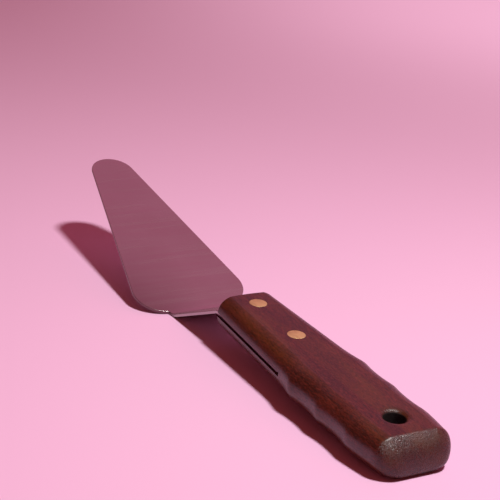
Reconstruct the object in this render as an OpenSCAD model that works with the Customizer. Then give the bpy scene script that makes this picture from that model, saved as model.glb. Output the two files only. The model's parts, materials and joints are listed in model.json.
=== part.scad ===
// Palette knife with a cranked steel blade, a slotted wooden handle and
// two-piece cutler's rivets. Millimetres. It lies as it rests on a table:
// +Z is up, +X points to the blade's tip, and Z = 0 is the table top.

/* [Handle] */
// Handle length from its front face to the end of the butt
handle_length = 118.8;  // [117:0.2:122]
// Handle thickness, flat top to flat underside
handle_thickness = 14;  // [12:0.2:16]
// Handle width at the front face
front_width = 24.8;  // [22:0.2:26]
// Handle width where the straight front part ends
waist_width = 30;  // [28:0.2:31]
// Length of the straight front part
straight_length = 48;  // [44:0.5:52]
// Handle width over the finger-grip ridges
ridge_width = 34.3;  // [32:0.1:35]
// Distance from the front face to the first ridge
first_ridge = 61;  // [58:0.5:63]
// Distance from one ridge to the next
ridge_spacing = 18.5;  // [17:0.1:19]
// Depth of each hollow between two ridges, per side
scallop_depth = 0.9;  // [0.2:0.1:1.5]
// Plan radius of the butt's corners
butt_corner_radius = 8.2;  // [7:0.2:10]
// Length of the butt's sloping end, seen from the side
butt_slope_length = 7.3;  // [6.8:0.1:8]
// Slope at which the butt's end begins, degrees
butt_slope = 33;  // [28:1:36]
// Radius of the edge between the flat top and the butt's slope
butt_edge_radius = 3;  // [1.5:0.1:3.5]
// Width of the flat top as a share of the handle's width
flat_share = 0.59;  // [0.5:0.01:0.65]
// Fall of the slightly crowned top from its middle to the sides
crown_drop = 0.2;  // [0:0.05:0.4]

/* [Hanging hole] */
// Hole diameter
hole_diameter = 8;  // [6:0.1:9]
// Distance from the front face to the hole's axis
hole_station = 101.3;  // [98:0.1:103]
// Width of the dished rim round each mouth of the hole
rim_width = 2.9;  // [1.5:0.1:3.2]
// Depth of the dished rim
rim_depth = 1.3;  // [0.8:0.1:2]

/* [Slot] */
// Height of the saw slot that takes the tang
slot_height = 1.6;  // [1.4:0.05:2]
// Length of the slot from the front face
slot_length = 51.5;  // [50:0.5:56]

/* [Blade] */
// Sheet thickness of tang, neck and the blade's heel
sheet_thickness = 1.2;  // [1:0.05:1.3]
// Thickness of the ground blade at its tip
tip_thickness = 0.7;  // [0.5:0.05:1]
// Blade length from the heel bend to the tip, along the blade
blade_length = 106;  // [90:0.5:120]
// Blade width just in front of the rounded heel corners
blade_width = 50;  // [44:0.5:54]
// Width of the neck where it joins the blade's heel
heel_width = 28.5;  // [26:0.5:29]
// Radius of the heel corners
heel_radius = 12.5;  // [9:0.5:13]
// Radius of the rounded tip
tip_radius = 9.9;  // [7:0.1:11]
// Rise of the blade against the handle's axis, degrees
blade_rise = 16.7;  // [10:0.1:22]

/* [Neck and tang] */
// Forward reach of the neck, front face to heel bend
neck_reach = 32.5;  // [28:0.1:40]
// Drop of the neck, handle mid-plane to heel bend
neck_drop = 15.7;  // [10:0.1:18]
// Inside radius of the bend at the handle
bend_radius = 2.4;  // [1.5:0.1:4]
// Inside radius of the soft bend at the blade's heel
heel_bend_radius = 8;  // [4:0.5:9]
// Length of the tang inside the slot
tang_length = 49.4;  // [46:0.1:50]

/* [Rivets] */
// Distance from the front face to the front rivet
front_rivet_station = 9;  // [8:0.1:12]
// Distance from the front face to the rear rivet
rear_rivet_station = 37.4;  // [34:0.1:40]
// Diameter of the flush rivet heads
rivet_head_diameter = 7;  // [6.4:0.1:8]
// Thickness of the rivet heads
rivet_head_thickness = 2.4;  // [2:0.1:3]
// Outside diameter of the tube halves
tube_diameter = 4.8;  // [4.4:0.1:5.2]
// Diameter of the stud halves' pins
stud_diameter = 3.2;  // [2.8:0.1:3.4]

/* [Hidden] */
$fn = 64;

// Clearance per face between pieces that touch
gap = 0.02;
half_thick = handle_thickness / 2;

// How far a cutting shape runs past the face it cuts
cut_margin = 2;

// Sheet position in the slot: the tang lies against the slot's top face
slot_top = slot_height / 2 - 0.1;
slot_bottom = slot_top - slot_height;
sheet_mid = slot_top - gap - sheet_thickness / 2;
tang_hole_diameter = tube_diameter + 0.2;
tang_recess = 0.1;
corner_start = 2;

// Bend geometry in the side view, on the sheet's middle surface
bend_mid = bend_radius + sheet_thickness / 2;
heel_bend_mid = heel_bend_radius + sheet_thickness / 2;
neck_start = 1.4;
neck_angle = atan2(neck_drop + sheet_mid, neck_reach - neck_start);
heel_turn = neck_angle + blade_rise;
front_setback = bend_mid * tan(neck_angle / 2);
heel_centre = [neck_reach, -neck_drop] + heel_bend_mid / cos(heel_turn / 2)
    * [-sin(blade_rise - heel_turn / 2), cos(blade_rise - heel_turn / 2)];

// Butt in the side view: an eased top edge, a long bulging slope and a round
// lower corner
nose_start = handle_length - butt_slope_length;
slope_start = nose_start + butt_edge_radius * sin(butt_slope);
slope_radius = (handle_length - slope_start) / (1 - sin(butt_slope));
slope_middle = half_thick - butt_edge_radius * (1 - cos(butt_slope)) - slope_radius * cos(butt_slope);
base_radius = half_thick + slope_middle;

// Resting pitch: the line that touches the heel bend and the butt's base
base_centre = [base_radius - handle_length, slope_middle];
heel_outer = heel_bend_radius + sheet_thickness;
rest_span = heel_centre - base_centre;
rest_pitch = asin((heel_outer - base_radius) / norm(rest_span)) - atan2(rest_span[1], rest_span[0]);

// A side-view point turned by the resting pitch
function pitched(p) = [p[0] * cos(rest_pitch) - p[1] * sin(rest_pitch),
                       p[0] * sin(rest_pitch) + p[1] * cos(rest_pitch)];

// Ends of the whole knife along X, then the shift that centres it
tip_point = [neck_reach + blade_length * cos(blade_rise) + tip_thickness / 2 * sin(blade_rise),
             -neck_drop + blade_length * sin(blade_rise) - tip_thickness / 2 * cos(blade_rise)];
x_front = pitched(tip_point)[0];
x_back = pitched([slope_radius - handle_length, slope_middle])[0] - slope_radius;
x_shift = -(x_front + x_back) / 2;
z_shift = base_radius - pitched(base_centre)[1];

// Half-width of the handle at distance s behind its front face
second_ridge = first_ridge + ridge_spacing;
third_ridge = second_ridge + ridge_spacing;
butt_start = handle_length - butt_corner_radius;
waist_slope = (waist_width - front_width) / 2 / straight_length;
waist_run = first_ridge - straight_length;
waist_bow = ((ridge_width - waist_width) / 2 - waist_slope * waist_run) / pow(waist_run, 2);
butt_taper = 1.4;
taper_power = 1.4;
butt_half = ridge_width / 2 - butt_taper;

function hollow(s, a) = 4 * scallop_depth * (s - a) / ridge_spacing * (1 - (s - a) / ridge_spacing);
function half_width_raw(s) =
    s < straight_length ? front_width / 2 + waist_slope * s :
    s < first_ridge ? waist_width / 2 + waist_slope * (s - straight_length)
                      + waist_bow * pow(s - straight_length, 2) :
    s < second_ridge ? ridge_width / 2 - hollow(s, first_ridge) :
    s < third_ridge ? ridge_width / 2 - hollow(s, second_ridge) :
    s < butt_start ? ridge_width / 2
        - butt_taper * pow((s - third_ridge) / (butt_start - third_ridge), taper_power) :
    butt_half - butt_corner_radius
        + sqrt(max(0, pow(butt_corner_radius, 2) - pow(s - butt_start, 2)));

// The ridges are blended by averaging over a short stretch
blend = 1.3;
function half_width(s) = s > butt_start - blend || s < blend ? half_width_raw(s) :
    (half_width_raw(s - blend) + 2 * half_width_raw(s - blend / 2) + 2 * half_width_raw(s)
     + 2 * half_width_raw(s + blend / 2) + half_width_raw(s + blend)) / 8;

// How far an arc that starts level has fallen after a run
function drop_of_arc(radius, run) = radius - sqrt(max(0, pow(radius, 2) - pow(run, 2)));

// Top and underside of the handle at s, in the side view
function top_of(s) =
    s < nose_start ? half_thick :
    s < slope_start ? half_thick - drop_of_arc(butt_edge_radius, s - nose_start) :
    slope_middle + slope_radius - drop_of_arc(slope_radius, s - handle_length + slope_radius);
function bottom_of(s) =
    drop_of_arc(base_radius, max(0, s - handle_length + base_radius)) - half_thick;

// Front edges are eased by a small inset
function front_inset(s) = s < 0.6 ? 0.5 * pow(1 - s / 0.6, 2) : 0;

// One quarter of a cross-section, from the middle of the top to the side.
// The side is the part of a superellipse between its lead angle and 90.
crown_steps = 3;
round_steps = 10;
round_power = 0.8;
round_lead = 25;
function quarter(w, h) =
    let (flat = flat_share * w,
         reach = (w - flat) / (1 - pow(sin(round_lead), round_power)),
         rise = h * (1 - crown_drop / half_thick) / pow(cos(round_lead), round_power))
    concat(
        [for (i = [0:crown_steps - 1])
            let (u = i / crown_steps)
            [flat * u, h - crown_drop * h / half_thick * u * u]],
        [for (i = [0:round_steps])
            let (a = round_lead + (90 - round_lead) * i / round_steps)
            [w - reach + reach * pow(sin(a), round_power),
             i == round_steps ? 0 : rise * pow(cos(a), round_power)]]);

// A whole cross-section, going once round
function section(w, h) =
    let (q = quarter(w, h), n = len(q))
    concat([for (i = [0:n - 1]) [q[i][0], q[i][1]]],
           [for (i = [n - 2:-1:0]) [q[i][0], -q[i][1]]],
           [for (i = [1:n - 1]) [-q[i][0], -q[i][1]]],
           [for (i = [n - 2:-1:1]) [-q[i][0], q[i][1]]]);

stations = concat(
    [0, 0.3, 0.6],
    [for (i = [1:12]) 0.6 + (straight_length - 1.2) * i / 12],
    [for (i = [1:33]) straight_length - 0.6 + (nose_start - straight_length) * i / 33],
    [for (i = [0:3]) nose_start + (slope_start - nose_start) * i / 4],
    [for (i = [0:11])
        handle_length - slope_radius * (1 - sin(butt_slope + (88 - butt_slope) * i / 11))]);

module handle_shell() {
    rings = [for (s = stations)
        section(half_width(s) - front_inset(s), (top_of(s) - bottom_of(s)) / 2 - front_inset(s))];
    n = len(rings[0]);
    m = len(rings);
    middles = [for (s = stations) (top_of(s) + bottom_of(s)) / 2];
    points = [for (k = [0:m - 1], p = rings[k]) [-stations[k], p[0], p[1] + middles[k]]];
    sides = [for (k = [0:m - 2], i = [0:n - 1])
        let (j = (i + 1) % n)
        each [[k * n + i, k * n + j, (k + 1) * n + j],
              [k * n + i, (k + 1) * n + j, (k + 1) * n + i]]];
    ends = [[for (i = [n - 1:-1:0]) i],
            [for (i = [0:n - 1]) (m - 1) * n + i]];
    polyhedron(points = points, faces = concat(sides, ends), convexity = 6);
}

// The hanging hole with its dished rims, as a solid to cut away
rim_steps = 10;
module hanging_hole() {
    r = hole_diameter / 2;
    rim = [for (i = [0:rim_steps])
        let (a = 90 * i / rim_steps)
        [r + rim_width * (1 - sin(a)), half_thick - rim_depth * (1 - cos(a))]];
    over = half_thick + cut_margin;
    upper = concat([[0, over], [r + rim_width, over]], rim);
    lower = [for (i = [len(upper) - 1:-1:0]) [upper[i][0], -upper[i][1]]];
    translate([-hole_station, 0, 0])
    rotate_extrude()
    polygon(concat(upper, lower));
}

// Stepped rivet hole through the handle
module rivet_hole(station) {
    translate([-station, 0, 0]) {
        cylinder(d = tube_diameter, h = handle_thickness + 2 * cut_margin, center = true);
        for (side = [0, 1])
            mirror([0, 0, side])
            translate([0, 0, half_thick - rivet_head_thickness])
            cylinder(d = rivet_head_diameter, h = rivet_head_thickness + cut_margin);
    }
}

module handle_solid() {
    difference() {
        handle_shell();
        translate([-slot_length, -ridge_width, slot_bottom])
        cube([slot_length + cut_margin, 2 * ridge_width, slot_height]);
        rivet_hole(front_rivet_station);
        rivet_hole(rear_rivet_station);
        hanging_hole();
    }
}

// Points of an arc, from one angle to the other
function arc(centre, r, from_angle, to_angle, steps) =
    [for (i = [0:steps])
        let (a = from_angle + (to_angle - from_angle) * i / steps)
        centre + r * [cos(a), sin(a)]];

// Side view of the whole sheet, one face from tang end to tip, and back
// along the other face: tang, bend, neck, heel bend, ground blade
bend_steps = 12;
tip_end = [neck_reach, -neck_drop] + blade_length * [cos(blade_rise), sin(blade_rise)];
tip_across = tip_thickness / 2 * [-sin(blade_rise), cos(blade_rise)];
front_centre = [neck_start - front_setback, sheet_mid - bend_mid];
function sheet_face(side) = concat(
    [[-tang_length, sheet_mid + side * sheet_thickness / 2]],
    arc(front_centre, bend_mid + side * sheet_thickness / 2, 90, 90 - neck_angle, bend_steps),
    arc(heel_centre, heel_bend_mid - side * sheet_thickness / 2, 270 - neck_angle, 270 + blade_rise,
        bend_steps),
    [tip_end + side * tip_across]);

module sheet() {
    upper = sheet_face(1);
    lower = sheet_face(-1);
    rotate([90, 0, 0])
    linear_extrude(height = blade_width + 2 * cut_margin, center = true)
    polygon(concat(upper, [for (i = [len(lower) - 1:-1:0]) lower[i]]));
}

// Outline of tang and neck, seen from above. It runs on under the blade's
// heel, so that the two outlines overlap across the bend.
module tang_outline() {
    tang_half = half_width_raw(tang_length) - tang_recess;
    front_half = front_width / 2 - tang_recess;
    heel_half = heel_width / 2;
    overlap_x = neck_reach + heel_radius / 2;
    polygon([[-tang_length, -tang_half],
             [0, -front_half],
             [neck_reach, -heel_half],
             [overlap_x, -heel_half],
             [overlap_x, heel_half],
             [neck_reach, heel_half],
             [0, front_half],
             [-tang_length, tang_half]]);
}

// Outline of the blade in its own plane: rounded heel corners just in front
// of the bend, straight edges that draw together, round tip
module blade_outline() {
    heel_mid = [corner_start + heel_radius, blade_width / 2 - heel_radius];
    tip_mid = [blade_length - tip_radius, 0];
    span = tip_mid - heel_mid;
    lean = atan2(span[1], span[0]) - asin((heel_radius - tip_radius) / norm(span));
    left = concat(
        arc(heel_mid, heel_radius, 180, 90 + lean, 20),
        arc(tip_mid, tip_radius, 90 + lean, 0, 20));
    polygon(concat(left, [for (i = [len(left) - 2:-1:0]) [left[i][0], -left[i][1]]]));
}

module blade_and_tang_solid() {
    difference() {
        intersection() {
            sheet();
            union() {
                translate([0, 0, -2 * neck_drop])
                linear_extrude(height = 2 * neck_drop + half_thick)
                tang_outline();
                translate([neck_reach, 0, -neck_drop])
                rotate([0, -blade_rise, 0])
                linear_extrude(height = 2 * heel_radius, center = true)
                blade_outline();
            }
        }
        for (station = [front_rivet_station, rear_rivet_station])
            translate([-station, 0, 0])
            cylinder(d = tang_hole_diameter, h = handle_thickness, center = true);
    }
}

// How far the pin, and the bore that takes it, reach below the mid-plane
pin_depth = 2.5;
socket_depth = 3.2;

// Male half of a rivet: flush head above, pin pointing down
module rivet_stud(station) {
    translate([-station, 0, 0]) {
        translate([0, 0, half_thick - rivet_head_thickness + gap])
        cylinder(d = rivet_head_diameter - 2 * gap, h = rivet_head_thickness - 2 * gap);
        translate([0, 0, -pin_depth])
        cylinder(d = stud_diameter - 2 * gap, h = half_thick - rivet_head_thickness + pin_depth + 2 * gap);
    }
}

// Female half of a rivet: flush head below, tube pointing up
module rivet_tube(station) {
    translate([-station, 0, 0])
    difference() {
        union() {
            translate([0, 0, -half_thick + gap])
            cylinder(d = rivet_head_diameter - 2 * gap, h = rivet_head_thickness - 2 * gap);
            translate([0, 0, -half_thick + gap])
            cylinder(d = tube_diameter - 2 * gap,
                     h = handle_thickness - rivet_head_thickness - gap);
        }
        translate([0, 0, -socket_depth])
        cylinder(d = stud_diameter, h = handle_thickness);
    }
}

// Puts a piece, drawn along the handle's axes, into its resting pose
module at_rest() {
    translate([x_shift, 0, z_shift])
    rotate([0, -rest_pitch, 0])
    children();
}

module blade_and_tang() {
    color([0.72, 0.70, 0.71])
    at_rest()
    blade_and_tang_solid();
}

module handle() {
    color([0.33, 0.13, 0.10])
    at_rest()
    handle_solid();
}

module front_rivet_stud() {
    color([0.76, 0.53, 0.33])
    at_rest()
    rivet_stud(front_rivet_station);
}

module front_rivet_tube() {
    color([0.76, 0.53, 0.33])
    at_rest()
    rivet_tube(front_rivet_station);
}

module rear_rivet_stud() {
    color([0.76, 0.53, 0.33])
    at_rest()
    rivet_stud(rear_rivet_station);
}

module rear_rivet_tube() {
    color([0.76, 0.53, 0.33])
    at_rest()
    rivet_tube(rear_rivet_station);
}

blade_and_tang();
handle();
front_rivet_stud();
front_rivet_tube();
rear_rivet_stud();
rear_rivet_tube();
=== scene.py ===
"""Palette knife: the looks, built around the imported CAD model. Metres, in the CAD frame."""
import json
import math

import bmesh
import bpy
from mathutils import Matrix, Vector


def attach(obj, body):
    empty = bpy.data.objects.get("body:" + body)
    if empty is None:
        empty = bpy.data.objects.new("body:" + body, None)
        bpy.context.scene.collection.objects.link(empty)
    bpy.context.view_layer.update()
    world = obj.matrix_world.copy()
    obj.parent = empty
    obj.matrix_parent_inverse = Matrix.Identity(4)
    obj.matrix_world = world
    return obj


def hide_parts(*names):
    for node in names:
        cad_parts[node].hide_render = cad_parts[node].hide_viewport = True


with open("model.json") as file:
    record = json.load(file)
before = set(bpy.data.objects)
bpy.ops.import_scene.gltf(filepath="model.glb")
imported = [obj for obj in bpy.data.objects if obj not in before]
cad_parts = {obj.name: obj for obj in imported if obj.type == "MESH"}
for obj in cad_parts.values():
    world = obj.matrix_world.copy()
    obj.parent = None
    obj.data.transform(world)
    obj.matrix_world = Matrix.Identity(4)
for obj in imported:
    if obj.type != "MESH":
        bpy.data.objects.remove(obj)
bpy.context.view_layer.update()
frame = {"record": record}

MM = 0.001

# ---------------------------------------------------------------- handle axes
# Shapes are drawn in millimetres along the handle: X forward from its front
# face, Z up from its middle. The hanging hole's mount gives their place.
# Materials measure the same way, but from the frame's origin.
HOLE_STATION = 101.3
HOLE_RADIUS = 4.0
RIM_WIDTH = 2.9
RIM_DEPTH = 1.3

hole = next(m for m in frame["record"]["mounts"] if m["name"] == "hanging_hole")
UP = Vector(hole["axis"]).normalized()
ALONG = Vector((UP.z, 0, -UP.x))
FRONT = Vector(hole["pos_m"]) + ALONG * HOLE_STATION * MM
PITCH = math.asin(ALONG.z)
HOLE_ALONG = Vector(hole["pos_m"]).dot(ALONG) / MM
FACE_ALONG = HOLE_ALONG + HOLE_STATION
HANDLE_AXES = Matrix((
    (ALONG.x * MM, 0, UP.x * MM, FRONT.x),
    (0, MM, 0, 0),
    (ALONG.z * MM, 0, UP.z * MM, FRONT.z),
    (0, 0, 0, 1),
))

# ------------------------------------------------------------ handle dimensions
HANDLE_LENGTH = 118.8
HALF_THICK = 7.0
FRONT_HALF = 12.4
WAIST_HALF = 15.0
STRAIGHT_LENGTH = 48.0
RIDGE_HALF = 17.15
FIRST_RIDGE = 61.0
RIDGE_SPACING = 18.5
SCALLOP_DEPTH = 0.9
BUTT_CORNER = 8.2
BUTT_TAPER = 1.4
TAPER_POWER = 1.4
RIDGE_BLEND = 1.3
CREASE_SHARE = 0.59
CREASE_LEAD = math.radians(25)
ROUND_POWER = 0.8
CROWN_DROP = 0.2
EASED_FRONT = 0.6
FRONT_INSET = 0.5
NOSE_REACH = 7.3
NOSE_EDGE = 3.0
NOSE_TURN = math.radians(33)
NOSE_START = HANDLE_LENGTH - NOSE_REACH
SLOPE_START = NOSE_START + NOSE_EDGE * math.sin(NOSE_TURN)
NOSE_RADIUS = (HANDLE_LENGTH - SLOPE_START) / (1 - math.sin(NOSE_TURN))
NOSE_MIDDLE = (HALF_THICK - NOSE_EDGE * (1 - math.cos(NOSE_TURN))
               - NOSE_RADIUS * math.cos(NOSE_TURN))
BASE_RADIUS = HALF_THICK + NOSE_MIDDLE
BUTT_START = HANDLE_LENGTH - BUTT_CORNER
# How far cutting shapes run past what they cut, upward, sideways and forward
CUT_ABOVE = 1
CUT_HALF_WIDTH = 25
CUT_AHEAD = 5

# -------------------------------------------------------------- slot and rivets
SLOT_LENGTH = 51.5
SLOT_TOP = 0.7
SLOT_BOTTOM = -0.9
RIVET_STATIONS = {"front": 9.0, "rear": 37.4}
HEAD_RADIUS = 3.5
HEAD_THICK = 2.4
TUBE_RADIUS = 2.4
STUD_RADIUS = 1.6
HEAD_EASING = 0.12
PIN_DEPTH = 2.5
PIN_CHAMFER = 0.4
SOCKET_DEPTH = 3.2
SOCKET_LEAD = 0.2
GAP = 0.02

# ------------------------------------------------------------- sheet dimensions
SHEET = 1.2
TIP_SHEET = 0.7
SHEET_MID = 0.08
TANG_LENGTH = 49.4
TANG_RECESS = 0.7
TANG_HOLE_RADIUS = 2.5
NECK_START = 1.4
NECK_REACH = 32.5
NECK_DROP = 15.7
FRONT_BEND = 3.0
HEEL_BEND = 8.6
BLADE_RISE = math.radians(16.7)
BLADE_LENGTH = 106.0
BLADE_HALF = 24.999
HEEL_HALF = 14.25
HEEL_RADIUS = 12.5
CORNER_START = 2.0
TIP_RADIUS = 9.9
EDGE_EASING = 0.15
# Edges that turn more than this, in radians, are the sheet's square rim
RIM_TURN = 1.2
# How many strips the bends are cut into, by the leg of the sheet's path
BEND_STRIPS = {1: 12, 3: 24}


# ------------------------------------------------------------------ mesh helpers
def new_piece(name, mesh, slot, *nodes):
    """A visible piece from a mesh in handle axes, standing for CAD nodes."""
    mesh.transform(HANDLE_AXES)
    piece = bpy.data.objects.new(name, mesh)
    bpy.context.scene.collection.objects.link(piece)
    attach(piece, "root")
    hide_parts(*nodes)
    return piece


def to_mesh(name, bm):
    """A bmesh written out as a mesh with outward faces."""
    bmesh.ops.recalc_face_normals(bm, faces=bm.faces)
    mesh = bpy.data.meshes.new(name)
    bm.to_mesh(mesh)
    bm.free()
    return mesh


def loft(name, rings):
    """A closed skin over rings of points that all have the same count."""
    bm = bmesh.new()
    rows = [[bm.verts.new(p) for p in ring] for ring in rings]
    count = len(rows[0])
    for a, b in zip(rows, rows[1:]):
        for i in range(count):
            j = (i + 1) % count
            bm.faces.new((a[i], a[j], b[j], b[i]))
    bm.faces.new(rows[0])
    bm.faces.new(rows[-1])
    return to_mesh(name, bm)


def lathe(name, profile, x=0.0, steps=96):
    """A solid turned about an upright axis at x. The profile is (radius, z) pairs,
    and starts and ends on the axis."""
    bm = bmesh.new()
    turns = [math.tau * k / steps for k in range(steps)]
    rows = []
    for r, z in profile:
        if r == 0:
            rows.append([bm.verts.new((x, 0, z))] * steps)
        else:
            ring = [(x + r * math.cos(t), r * math.sin(t), z) for t in turns]
            rows.append([bm.verts.new(p) for p in ring])
    for a, b in zip(rows, rows[1:]):
        for i in range(steps):
            j = (i + 1) % steps
            corners = dict.fromkeys((a[i], a[j], b[j], b[i]))
            bm.faces.new(tuple(corners))
    return to_mesh(name, bm)


def block(name, low, high):
    """A plain box used only as a cutter."""
    bm = bmesh.new()
    bmesh.ops.create_cube(bm, size=1)
    middle = (Vector(low) + Vector(high)) / 2
    size = Vector(high) - Vector(low)
    place = Matrix.Translation(middle) @ Matrix.Diagonal((*size, 1))
    bmesh.ops.transform(bm, matrix=place, verts=bm.verts)
    return to_mesh(name, bm)


def arc(centre, radius, start, end, steps):
    """Points of an arc between two angles in radians, both ends included."""
    angles = [start + (end - start) * k / steps for k in range(steps + 1)]
    return [(centre[0] + radius * math.cos(a), centre[1] + radius * math.sin(a))
            for a in angles]


def spaced(start, end, step):
    """Even steps from start up to, but not onto, the end."""
    return [start + step * k for k in range(math.ceil((end - start) / step))]


def cut(mesh, cutters):
    """The mesh with each cutter's volume taken away."""
    body = bpy.data.objects.new(mesh.name, mesh)
    bpy.context.scene.collection.objects.link(body)
    tools = []
    for cutter in cutters:
        tool = bpy.data.objects.new(cutter.name, cutter)
        bpy.context.scene.collection.objects.link(tool)
        step = body.modifiers.new(cutter.name, "BOOLEAN")
        step.operation = "DIFFERENCE"
        step.solver = "EXACT"
        step.object = tool
        tools.append(tool)
    graph = bpy.context.evaluated_depsgraph_get()
    result = bpy.data.meshes.new_from_object(body.evaluated_get(graph))
    result.name = mesh.name
    for extra in (body, *tools):
        bpy.data.objects.remove(extra)
    return result


def shade(piece, angle):
    """Smooth shading that keeps edges crisp above an angle in degrees."""
    mesh = piece.data
    bm = bmesh.new()
    bm.from_mesh(mesh)
    limit = math.radians(angle)
    for edge in bm.edges:
        edge.smooth = edge.calc_face_angle(math.pi) < limit
    for face in bm.faces:
        face.smooth = True
    bm.to_mesh(mesh)
    bm.free()
    weighted = piece.modifiers.new("weighted_normals", "WEIGHTED_NORMAL")
    weighted.keep_sharp = True


# ----------------------------------------------------------------------- handle
def hollow(s, start):
    """Depth of a finger hollow that starts at a ridge."""
    u = (s - start) / RIDGE_SPACING
    return 4 * SCALLOP_DEPTH * u * (1 - u)


def half_width_raw(s):
    """Half-width of the handle at distance s behind its front face."""
    slope = (WAIST_HALF - FRONT_HALF) / STRAIGHT_LENGTH
    run = FIRST_RIDGE - STRAIGHT_LENGTH
    second = FIRST_RIDGE + RIDGE_SPACING
    third = second + RIDGE_SPACING
    if s < STRAIGHT_LENGTH:
        return FRONT_HALF + slope * s
    if s < FIRST_RIDGE:
        bow = (RIDGE_HALF - WAIST_HALF - slope * run) / run ** 2
        u = s - STRAIGHT_LENGTH
        return WAIST_HALF + slope * u + bow * u * u
    if s < second:
        return RIDGE_HALF - hollow(s, FIRST_RIDGE)
    if s < third:
        return RIDGE_HALF - hollow(s, second)
    if s < BUTT_START:
        return RIDGE_HALF - BUTT_TAPER * ((s - third) / (BUTT_START - third)) ** TAPER_POWER
    corner = math.sqrt(max(0.0, BUTT_CORNER ** 2 - (s - BUTT_START) ** 2))
    return RIDGE_HALF - BUTT_TAPER - BUTT_CORNER + corner


def half_width(s):
    """The same with the ridges blended over a short stretch."""
    if s < RIDGE_BLEND or s > BUTT_START - RIDGE_BLEND:
        return half_width_raw(s)
    weights = (1, 2, 2, 2, 1)
    samples = (half_width_raw(s + RIDGE_BLEND * k / 2) for k in range(-2, 3))
    return sum(w * v for w, v in zip(weights, samples)) / sum(weights)


def drop_of_arc(radius, run):
    """How far an arc that starts level has fallen after a run."""
    return radius - math.sqrt(max(0.0, radius ** 2 - run ** 2))


def top_of(s):
    """Top face in side view: flat, an eased edge, then the butt's long slope."""
    if s < NOSE_START:
        return HALF_THICK
    if s < SLOPE_START:
        return HALF_THICK - drop_of_arc(NOSE_EDGE, s - NOSE_START)
    run = s - HANDLE_LENGTH + NOSE_RADIUS
    return NOSE_MIDDLE + NOSE_RADIUS - drop_of_arc(NOSE_RADIUS, run)


def bottom_of(s):
    """Underside in side view: flat, then a round corner at the butt."""
    run = max(0.0, s - HANDLE_LENGTH + BASE_RADIUS)
    return -HALF_THICK + drop_of_arc(BASE_RADIUS, run)


def handle_ring(s, crown_steps=8, round_steps=28, last_crown=0.985, bunching=1.15):
    """A cross-section: slightly crowned top and bottom, bulging sides. Its points
    lie closer together at the crease."""
    inset = FRONT_INSET * (1 - s / EASED_FRONT) ** 2 if s < EASED_FRONT else 0.0
    w = half_width(s) - inset
    middle = (top_of(s) + bottom_of(s)) / 2
    h = (top_of(s) - bottom_of(s)) / 2 - inset
    flat = CREASE_SHARE * w
    top = h * (1 - CROWN_DROP / HALF_THICK)
    reach = (w - flat) / (1 - math.sin(CREASE_LEAD) ** ROUND_POWER)
    rise = top / math.cos(CREASE_LEAD) ** ROUND_POWER
    quarter = []
    for u in [k / crown_steps for k in range(crown_steps)] + [last_crown]:
        quarter.append((flat * u, h - CROWN_DROP * h / HALF_THICK * u * u))
    for k in range(round_steps):
        a = CREASE_LEAD + (math.pi / 2 - CREASE_LEAD) * (k / round_steps) ** bunching
        quarter.append((w - reach + reach * math.sin(a) ** ROUND_POWER,
                        rise * math.cos(a) ** ROUND_POWER))
    quarter.append((w, 0.0))
    right = quarter + [(y, -z) for y, z in quarter[-2::-1]]
    ring = right + [(-y, z) for y, z in right[-2:0:-1]]
    return [(-s, y, middle + z) for y, z in ring]


def handle_stations():
    """Where the handle's cross-sections stand: coarse along the straight front,
    fine over the grips, and finest round the ends."""
    straight_step, grip_step, apart = 1.6, 0.7, 0.2
    grips = STRAIGHT_LENGTH - apart
    stations = [EASED_FRONT * k / 5 for k in range(5)]
    stations += spaced(EASED_FRONT, grips, straight_step)
    stations += spaced(grips, NOSE_START - apart, grip_step)
    stations += [NOSE_START + (SLOPE_START - NOSE_START) * k / 8 for k in range(8)]
    last_turn = math.radians(88)
    turns = [NOSE_TURN + (last_turn - NOSE_TURN) * k / 22 for k in range(23)]
    return stations + [HANDLE_LENGTH - NOSE_RADIUS * (1 - math.sin(a)) for a in turns]


def hole_profile(over):
    """The hanging hole and its dished rims, as a profile to turn."""
    quarter = arc((0, 0), 1, math.pi / 2, math.pi, 18)
    rim = [(HOLE_RADIUS + RIM_WIDTH * (1 + r), HALF_THICK - RIM_DEPTH * (1 - z))
           for r, z in quarter]
    upper = [(0, over), (HOLE_RADIUS + RIM_WIDTH, over), *rim]
    return upper + [(r, -z) for r, z in reversed(upper)]


def make_handle():
    body = loft("handle_block", [handle_ring(s) for s in handle_stations()])
    over = HALF_THICK + CUT_ABOVE
    cutters = [
        block("slot_cutter", (-SLOT_LENGTH, -CUT_HALF_WIDTH, SLOT_BOTTOM),
              (CUT_AHEAD, CUT_HALF_WIDTH, SLOT_TOP)),
        lathe("hole_cutter", hole_profile(over), -HOLE_STATION),
    ]
    seat = HALF_THICK - HEAD_THICK
    for place, station in RIVET_STATIONS.items():
        steps = [(0, over), (HEAD_RADIUS, over), (HEAD_RADIUS, seat), (TUBE_RADIUS, seat)]
        steps += [(r, -z) for r, z in reversed(steps)]
        cutters.append(lathe(place + "_rivet_cutter", steps, -station))
    piece = new_piece("handle_block", cut(body, cutters), "wood", "handle")
    shade(piece, 34)
    return piece


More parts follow.
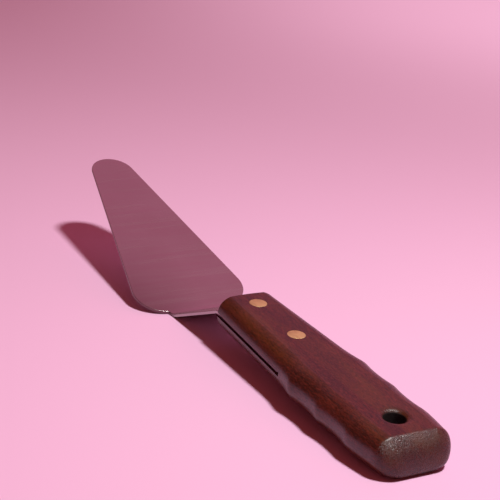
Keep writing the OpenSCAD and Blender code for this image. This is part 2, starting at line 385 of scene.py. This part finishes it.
# ------------------------------------------------------------------------ blade
class SheetPath:
    """The sheet's middle line in side view: tang, bend, neck, heel bend, blade."""

    def __init__(self):
        drop = NECK_DROP + SHEET_MID
        reach = NECK_REACH - NECK_START
        self.neck_angle = math.atan2(drop, reach)
        turn = self.neck_angle + BLADE_RISE
        self.front_setback = FRONT_BEND * math.tan(self.neck_angle / 2)
        self.heel_setback = HEEL_BEND * math.tan(turn / 2)
        self.legs = [
            (TANG_LENGTH + NECK_START - self.front_setback, 0.0),
            (FRONT_BEND * self.neck_angle, -1 / FRONT_BEND),
            (math.hypot(reach, drop) - self.front_setback - self.heel_setback, 0.0),
            (HEEL_BEND * turn, 1 / HEEL_BEND),
            (BLADE_LENGTH - self.heel_setback, 0.0),
        ]
        self.starts = [sum(length for length, _ in self.legs[:k])
                       for k in range(len(self.legs) + 1)]

    def place(self, s):
        """(x, z, heading) at length s from the tang's end. Past the tip the last
        leg runs on."""
        x, z, heading = -TANG_LENGTH, SHEET_MID, 0.0
        for (length, curve), start in zip(self.legs, self.starts):
            run = min(max(s - start, 0.0), length)
            if start == self.starts[-2]:
                run = max(s - start, 0.0)
            if curve:
                turned = heading + curve * run
                x += (math.sin(turned) - math.sin(heading)) / curve
                z += (math.cos(heading) - math.cos(turned)) / curve
                heading = turned
            else:
                x += run * math.cos(heading)
                z += run * math.sin(heading)
        return x, z, heading


def sheet_outline(path):
    """Half of the flat, unrolled outline: (length from the tang's end, half-width)."""
    heel_fold = (path.starts[3] + path.starts[4]) / 2
    blade_zero = path.starts[4] - path.heel_setback
    heel_mid = Vector((blade_zero + CORNER_START + HEEL_RADIUS, BLADE_HALF - HEEL_RADIUS))
    tip_mid = Vector((blade_zero + BLADE_LENGTH - TIP_RADIUS, 0))
    span = tip_mid - heel_mid
    lean = math.atan2(span.y, span.x) - math.asin((HEEL_RADIUS - TIP_RADIUS) / span.length)
    past_neck = 0.02
    off_axis = math.acos(1 - (HEEL_HALF - heel_mid.y) ** 2 / (2 * HEEL_RADIUS ** 2))
    first = math.pi - off_axis - past_neck
    half = [(0, half_width_raw(TANG_LENGTH) - TANG_RECESS),
            (TANG_LENGTH, FRONT_HALF - TANG_RECESS),
            (heel_fold, HEEL_HALF)]
    half += arc(heel_mid, HEEL_RADIUS, first, math.pi / 2 + lean, 28)
    half += arc(tip_mid, TIP_RADIUS, math.pi / 2 + lean, 0, 40)
    return half


def make_blade():
    path = SheetPath()
    half = sheet_outline(path)
    bm = bmesh.new()
    loop = [(s, y, 0) for s, y in half] + [(s, -y, 0) for s, y in reversed(half[:-1])]
    bm.faces.new([bm.verts.new(p) for p in loop])

    cuts = []
    for leg, steps in BEND_STRIPS.items():
        start, end = path.starts[leg], path.starts[leg + 1]
        cuts += [start + (end - start) * k / steps for k in range(steps + 1)]
    for s in cuts:
        everything = bm.verts[:] + bm.edges[:] + bm.faces[:]
        bmesh.ops.bisect_plane(bm, geom=everything, plane_co=(s, 0, 0), plane_no=(1, 0, 0))

    upper = bmesh.ops.extrude_face_region(bm, geom=bm.faces[:])
    lifted = [v for v in upper["geom"] if isinstance(v, bmesh.types.BMVert)]
    bmesh.ops.translate(bm, verts=lifted, vec=(0, 0, SHEET))
    bmesh.ops.translate(bm, verts=bm.verts, vec=(0, 0, -SHEET / 2))
    bmesh.ops.recalc_face_normals(bm, faces=bm.faces)
    rim = [e for e in bm.edges if e.calc_face_angle(0) > RIM_TURN]
    bmesh.ops.bevel(bm, geom=rim, offset=EDGE_EASING, segments=3, profile=0.5,
                    affect="EDGES")

    ground, tip = path.starts[4], path.starts[5]
    for v in bm.verts:
        s, y, lift = v.co
        x, z, heading = path.place(s)
        thin = min(max((s - ground) / (tip - ground), 0), 1)
        lift *= 1 + (TIP_SHEET / SHEET - 1) * thin
        v.co = (x - lift * math.sin(heading), y, z + lift * math.cos(heading))
    mesh = to_mesh("blade_sheet", bm)
    over = 3
    hole_side = [(0, over), (TANG_HOLE_RADIUS, over), (TANG_HOLE_RADIUS, -over), (0, -over)]
    holes = [lathe(place + "_tang_cutter", hole_side, -station)
             for place, station in RIVET_STATIONS.items()]
    piece = new_piece("blade_sheet", cut(mesh, holes), "steel", "blade_and_tang")
    shade(piece, 50)
    return piece


# ----------------------------------------------------------------------- rivets
def make_rivet(place):
    """Both halves of a cutler's rivet: stud from above, tube from below."""
    x = -RIVET_STATIONS[place]
    face = HALF_THICK - GAP
    seat = HALF_THICK - HEAD_THICK + GAP
    head = HEAD_RADIUS - GAP
    shoulder = (head - HEAD_EASING, face - HEAD_EASING)
    eased = arc(shoulder, HEAD_EASING, math.pi / 2, 0, 4)
    head_profile = [(0, face), *eased, (head, seat)]

    pin = STUD_RADIUS - GAP
    stud = head_profile + [(pin, seat), (pin, PIN_CHAMFER - PIN_DEPTH),
                           (pin - PIN_CHAMFER, -PIN_DEPTH), (0, -PIN_DEPTH)]
    stud_piece = new_piece(place + "_stud", lathe(place + "_stud", stud, x), "brass",
                           place + "_rivet_stud")

    tube = TUBE_RADIUS - GAP
    mouth = HALF_THICK - HEAD_THICK - GAP
    shell = [(r, -z) for r, z in head_profile]
    shell += [(tube, -seat), (tube, mouth), (STUD_RADIUS + SOCKET_LEAD, mouth)]
    shell += [(STUD_RADIUS, mouth - SOCKET_LEAD), (STUD_RADIUS, -SOCKET_DEPTH)]
    shell += [(0, -SOCKET_DEPTH)]
    tube_piece = new_piece(place + "_tube", lathe(place + "_tube", shell, x), "brass",
                           place + "_rivet_tube")
    for piece in (stud_piece, tube_piece):
        shade(piece, 40)
    return [stud_piece, tube_piece]


# -------------------------------------------------------------------- materials
class Shader:
    """A material's node tree, with short calls for the nodes used here."""

    def __init__(self, name):
        self.material = bpy.data.materials.new(name)
        self.material.use_nodes = True
        self.nodes = self.material.node_tree.nodes
        self.links = self.material.node_tree.links
        self.surface = self.nodes["Principled BSDF"]

    def node(self, kind, **settings):
        made = self.nodes.new("ShaderNode" + kind)
        for key, value in settings.items():
            setattr(made, key, value)
        return made

    def feed(self, socket, value):
        """Links a node's output into a socket, or sets a plain value."""
        if isinstance(value, bpy.types.NodeSocket):
            self.links.new(value, socket)
        else:
            socket.default_value = value

    def handle_space(self):
        """Millimetres along the handle's axes, so that scales are cycles per mm."""
        where = self.node("TexCoord").outputs["Object"]
        turned = self.node("Mapping")
        self.feed(turned.inputs["Vector"], where)
        turned.inputs["Rotation"].default_value = (0, PITCH, 0)
        turned.inputs["Scale"].default_value = (1 / MM, 1 / MM, 1 / MM)
        return turned.outputs["Vector"]

    def parts(self, vector):
        made = self.node("SeparateXYZ")
        self.feed(made.inputs["Vector"], vector)
        return [made.outputs[axis] for axis in "XYZ"]

    def facing(self, direction):
        """How squarely a surface faces a direction or its opposite, 0 to 1."""
        made = self.node("VectorMath", operation="DOT_PRODUCT")
        self.feed(made.inputs[0], self.node("TexCoord").outputs["Normal"])
        made.inputs[1].default_value = direction
        return self.math("ABSOLUTE", made.outputs["Value"], 0.0)

    def stretch(self, vector, scale, rotation=(0, 0, 0)):
        made = self.node("Mapping")
        self.feed(made.inputs["Vector"], vector)
        made.inputs["Scale"].default_value = scale
        made.inputs["Rotation"].default_value = rotation
        return made.outputs["Vector"]

    def noise(self, vector, scale=1.0, detail=2.0, roughness=0.5, distortion=0.0):
        made = self.node("TexNoise")
        self.feed(made.inputs["Vector"], vector)
        made.inputs["Scale"].default_value = scale
        made.inputs["Detail"].default_value = detail
        made.inputs["Roughness"].default_value = roughness
        made.inputs["Distortion"].default_value = distortion
        return made.outputs["Fac"]

    def spread(self, value, low, high, to_low=0.0, to_high=1.0):
        """A value mapped from one range to another, held at the ends."""
        made = self.node("MapRange")
        self.feed(made.inputs["Value"], value)
        ends = {"From Min": low, "From Max": high, "To Min": to_low, "To Max": to_high}
        for name, number in ends.items():
            made.inputs[name].default_value = number
        return made.outputs["Result"]

    def blend(self, factor, a, b):
        made = self.node("Mix", data_type="RGBA")
        self.feed(made.inputs[0], factor)
        self.feed(made.inputs[6], a)
        self.feed(made.inputs[7], b)
        return made.outputs[2]

    def math(self, operation, a, b):
        made = self.node("Math", operation=operation)
        self.feed(made.inputs[0], a)
        self.feed(made.inputs[1], b)
        return made.outputs[0]

    def bump(self, height, depth, strength=1.0, below=None):
        """A bump of the given depth in metres, laid over another if one is given."""
        made = self.node("Bump")
        made.inputs["Distance"].default_value = depth
        made.inputs["Strength"].default_value = strength
        self.feed(made.inputs["Height"], height)
        if below is not None:
            self.feed(made.inputs["Normal"], below)
        return made.outputs["Normal"]

    def finish(self, **sockets):
        for name, value in sockets.items():
            self.feed(self.surface.inputs[name.replace("_", " ")], value)
        return self.material


def wood_material():
    """Reddish-brown stained hardwood under a thin satin lacquer: fine fibre and
    pores along the handle, speckled end grain, and a bore coloured near-black."""
    sh = Shader("stained_hardwood")
    space = sh.handle_space()
    fibre = sh.noise(sh.stretch(space, (0.05, 1.3, 1.3)), detail=6, roughness=0.65)
    dashes = sh.noise(sh.stretch(space, (0.55, 2.6, 2.6)), detail=3, roughness=0.6)
    figure = sh.noise(sh.stretch(space, (0.014, 0.13, 0.20)), detail=3, distortion=0.5)
    pores = sh.noise(sh.stretch(space, (0.35, 3.6, 3.6)), detail=2)
    fleck = sh.noise(space, scale=2.2, detail=3, roughness=0.75)
    mottle = sh.noise(sh.stretch(space, (0.05, 0.12, 0.12)), detail=4)
    end_grain = sh.spread(sh.facing(ALONG), 0.22, 0.55)

    dark = (0.020, 0.0035, 0.0018, 1)
    brown = (0.085, 0.0120, 0.0065, 1)
    amber = (0.120, 0.0360, 0.0060, 1)
    ruddy = (0.165, 0.0260, 0.0170, 1)
    pore_black = (0.010, 0.002, 0.001, 1)
    bore_black = (0.008, 0.002, 0.001, 1)
    colour = sh.blend(sh.spread(fibre, 0.32, 0.66), dark, brown)
    colour = sh.blend(sh.spread(figure, 0.44, 0.66, 0, 0.45), colour, amber)
    colour = sh.blend(sh.spread(mottle, 0.42, 0.70, 0, 0.50), colour, dark)
    colour = sh.blend(sh.spread(dashes, 0.50, 0.66, 0, 0.55), colour, ruddy)
    colour = sh.blend(sh.spread(dashes, 0.46, 0.34, 0, 0.60), colour, dark)
    colour = sh.blend(sh.math("MULTIPLY", end_grain, 0.30), colour, dark)
    open_pore = sh.spread(pores, 0.58, 0.68)
    colour = sh.blend(sh.math("MULTIPLY", open_pore, 0.8), colour, pore_black)

    # The hanging hole's bore is coloured near-black
    from_axis = sh.node("VectorMath", operation="DISTANCE")
    sh.feed(from_axis.inputs[0], sh.stretch(space, (1, 1, 0)))
    from_axis.inputs[1].default_value = (HOLE_ALONG, 0, 0)
    in_bore = sh.spread(from_axis.outputs["Value"], HOLE_RADIUS + 0.3, HOLE_RADIUS)
    colour = sh.blend(in_bore, colour, bore_black)

    speckle = sh.spread(fleck, 0.38, 0.62)
    end_rough = sh.spread(fleck, 0.42, 0.58, -0.16, 0.10)
    rough = sh.math("ADD", sh.spread(fleck, 0.3, 0.7, 0.24, 0.38),
                    sh.math("MULTIPLY", open_pore, 0.15))
    rough = sh.math("ADD", rough, sh.math("MULTIPLY", in_bore, 0.4))
    rough = sh.math("ADD", rough, sh.math("MULTIPLY", end_grain, end_rough))
    normal = sh.bump(sh.math("SUBTRACT", 1.0, open_pore), 0.00002, 0.8)
    normal = sh.bump(dashes, 0.00003, 0.8, normal)
    normal = sh.bump(fleck, 0.00002, 0.8, normal)
    normal = sh.bump(sh.math("MULTIPLY", speckle, end_grain), 0.00005, 1.0, normal)
    return sh.finish(Base_Color=colour, Roughness=rough, Normal=normal, IOR=1.55)


def steel_material():
    """Satin steel, ground across the blade, with cut edges darkened (partly duller sheared
    steel, partly painted shade and reflection) and a painted darker reflection towards the
    heel.
    """
    sh = Shader("satin_steel")
    space = sh.handle_space()
    lines = sh.noise(sh.stretch(space, (6.0, 0.06, 1.0)), detail=3, roughness=0.6)
    broad = sh.noise(sh.stretch(space, (0.35, 0.02, 0.35)), detail=3)
    cloud = sh.noise(space, scale=0.040, detail=4, roughness=0.55)
    smudge = sh.noise(space, scale=0.11, detail=5, roughness=0.6, distortion=0.8)

    line_dark = (0.512, 0.492, 0.482, 1)
    line_light = (0.528, 0.508, 0.498, 1)
    clouded = (0.460, 0.410, 0.400, 1)
    smudged = (0.52, 0.44, 0.44, 1)
    # Painted darker reflection near the heel
    heel_painted_reflection = (0.26, 0.20, 0.20, 1)
    # Duller cut edges, partly painted shade and painted dark reflection
    edge_dull_and_painted_shade = (0.17, 0.10, 0.11, 1)
    colour = sh.blend(sh.spread(lines, 0.3, 0.7), line_dark, line_light)
    colour = sh.blend(sh.spread(cloud, 0.38, 0.66, 0, 0.40), colour, clouded)
    colour = sh.blend(sh.spread(smudge, 0.56, 0.72, 0, 0.30), colour, smudged)

    # Painted darker reflection towards the blade's left heel corner, where the blade reflects
    # a darker region
    along, across = sh.parts(space)[:2]
    heel_reflection_mask = sh.math("MULTIPLY", sh.spread(along, 30, 78, 1, 0), sh.spread(across, -4, 24))
    colour = sh.blend(sh.math("MULTIPLY", heel_reflection_mask, 0.75), colour, heel_painted_reflection)

    # Cut edges on tang and blade are darkened: partly duller sheared steel, partly painted
    # shade in the slot and painted dark reflection along the blade; the neck's edges keep the
    # plain steel colour
    fold_along = FACE_ALONG + NECK_REACH
    cut_edge = sh.spread(sh.facing((0, 0, 1)), 0.75, 0.45)
    off_neck = sh.math("MAXIMUM", sh.spread(along, FACE_ALONG + 1, FACE_ALONG - 1),
                       sh.spread(along, fold_along - 3, fold_along))
    colour = sh.blend(sh.math("MULTIPLY", cut_edge, off_neck), colour, edge_dull_and_painted_shade)
    rough = sh.math("ADD", sh.spread(lines, 0.3, 0.7, 0.23, 0.26),
                    sh.spread(broad, 0.35, 0.65, -0.02, 0.03))
    normal = sh.bump(lines, 0.000002, 0.4)
    return sh.finish(Base_Color=colour, Roughness=rough, Normal=normal, Metallic=1.0)


def brass_material():
    """Rivet brass, ground flush with the wood and dulled a little."""
    sh = Shader("ground_brass")
    space = sh.handle_space()
    slanted = sh.stretch(space, (0.25, 9.0, 1.0), (0, 0, 0.5))
    scratches = sh.noise(slanted, detail=4, roughness=0.65)
    tarnish = sh.noise(space, scale=0.45, detail=4, roughness=0.6)

    worn = (0.76, 0.60, 0.27, 1)
    bright = (0.92, 0.76, 0.38, 1)
    tarnished = (0.52, 0.36, 0.16, 1)
    colour = sh.blend(sh.spread(scratches, 0.3, 0.7), worn, bright)
    colour = sh.blend(sh.spread(tarnish, 0.40, 0.70, 0, 0.45), colour, tarnished)
    rough = sh.spread(scratches, 0.3, 0.7, 0.42, 0.58)
    normal = sh.bump(scratches, 0.000008, 0.6)
    return sh.finish(Base_Color=colour, Roughness=rough, Normal=normal, Metallic=1.0)


# ------------------------------------------------------------------------ stage
FLOOR_SIZE = 8.0
FLOOR_COLOUR = (0.85, 0.50, 0.71, 1)
FAR_SIDE = (0.50, -0.75, 0.45)
# Cosines of the angle from the far side between which the surroundings dim
FAR_EDGE = (0.60, 0.92)
FAR_COLOUR = (0.58, 0.165, 0.285, 1)
NEAR_COLOUR = (0.19, 0.042, 0.036, 1)
KEY_PLACE = (-0.265, -0.135, 0.706)
KEY_AIM = (0, 0, 0.01)
KEY_SIZE = 0.10
KEY_POWER = 5.7
FILL_PLACE = (0.56, -0.72, 1.0)
FILL_SIZE = 0.2
FILL_POWER = 28
FILL_CONE = math.radians(62)


def make_floor():
    bm = bmesh.new()
    bmesh.ops.create_grid(bm, x_segments=1, y_segments=1, size=FLOOR_SIZE / 2)
    floor = bpy.data.objects.new("floor", to_mesh("floor", bm))
    bpy.context.scene.collection.objects.link(floor)
    sh = Shader("pale_floor")
    floor.data.materials.append(sh.finish(Base_Color=FLOOR_COLOUR, Roughness=0.85))


def make_key_light():
    """The lamp that casts the knife's one clear shadow."""
    data = bpy.data.lights.new("key", "AREA")
    data.shape = "DISK"
    data.size = KEY_SIZE
    data.energy = KEY_POWER
    lamp = bpy.data.objects.new("key", data)
    lamp.location = KEY_PLACE
    shining = Vector(KEY_AIM) - Vector(KEY_PLACE)
    lamp.rotation_euler = shining.to_track_quat("-Z", "Y").to_euler()
    bpy.context.scene.collection.objects.link(lamp)


def make_far_light():
    """A soft spot, pointing straight down, that lights the floor beyond the blade."""
    data = bpy.data.lights.new("far_light", "SPOT")
    data.energy = FILL_POWER
    data.spot_size = FILL_CONE
    data.spot_blend = 1.0
    data.shadow_soft_size = FILL_SIZE
    lamp = bpy.data.objects.new("far_light", data)
    lamp.location = FILL_PLACE
    bpy.context.scene.collection.objects.link(lamp)


def make_world():
    """Rose surroundings: a lit far side, and a dimmer, redder near side."""
    world = bpy.data.worlds.new("studio")
    world.use_nodes = True
    nodes, links = world.node_tree.nodes, world.node_tree.links
    direction = nodes.new("ShaderNodeTexCoord")
    facing = nodes.new("ShaderNodeVectorMath")
    facing.operation = "DOT_PRODUCT"
    facing.inputs[1].default_value = Vector(FAR_SIDE).normalized()
    ramp = nodes.new("ShaderNodeMapRange")
    ramp.interpolation_type = "SMOOTHSTEP"
    ramp.inputs["From Min"].default_value, ramp.inputs["From Max"].default_value = FAR_EDGE
    mix = nodes.new("ShaderNodeMix")
    mix.data_type = "RGBA"
    mix.inputs[6].default_value = NEAR_COLOUR
    mix.inputs[7].default_value = FAR_COLOUR
    links.new(direction.outputs["Generated"], facing.inputs[0])
    links.new(facing.outputs["Value"], ramp.inputs["Value"])
    links.new(ramp.outputs["Result"], mix.inputs[0])
    links.new(mix.outputs[2], nodes["Background"].inputs["Color"])
    bpy.context.scene.world = world


# ----------------------------------------------------------------------- camera
VIEW_AZIMUTH = math.radians(238.735)
VIEW_ELEVATION = math.radians(19.508)
VIEW_ROLL = math.radians(4.554)
VIEW_DISTANCE = 0.6512
VIEW_AIM = Vector((0.06125, -0.04178, 0.010))
LENS = 106.3


def make_camera():
    """The camera, and the view transform that keeps the strong pink."""
    look = Vector((-math.sin(VIEW_AZIMUTH) * math.cos(VIEW_ELEVATION),
                   math.cos(VIEW_AZIMUTH) * math.cos(VIEW_ELEVATION),
                   -math.sin(VIEW_ELEVATION)))
    level = look.cross(Vector((0, 0, 1))).normalized()
    upright = level.cross(look)
    right = level * math.cos(VIEW_ROLL) + upright * math.sin(VIEW_ROLL)
    above = right.cross(look)
    data = bpy.data.cameras.new("camera")
    data.lens = LENS
    data.sensor_width = 36
    data.clip_start = 0.01
    camera = bpy.data.objects.new("camera", data)
    camera.matrix_world = Matrix.Translation(VIEW_AIM - look * VIEW_DISTANCE) @ Matrix(
        (right, above, -look)).transposed().to_4x4()
    bpy.context.scene.collection.objects.link(camera)
    bpy.context.scene.camera = camera
    bpy.context.scene.view_settings.view_transform = "Standard"


def dress(pieces, material):
    """Gives the pieces their one material."""
    for piece in pieces:
        piece.data.materials.clear()
        piece.data.materials.append(material)


make_camera()
make_floor()
make_world()
make_far_light()
make_key_light()
dress([make_handle()], wood_material())
dress([make_blade()], steel_material())
dress([piece for place in RIVET_STATIONS for piece in make_rivet(place)], brass_material())
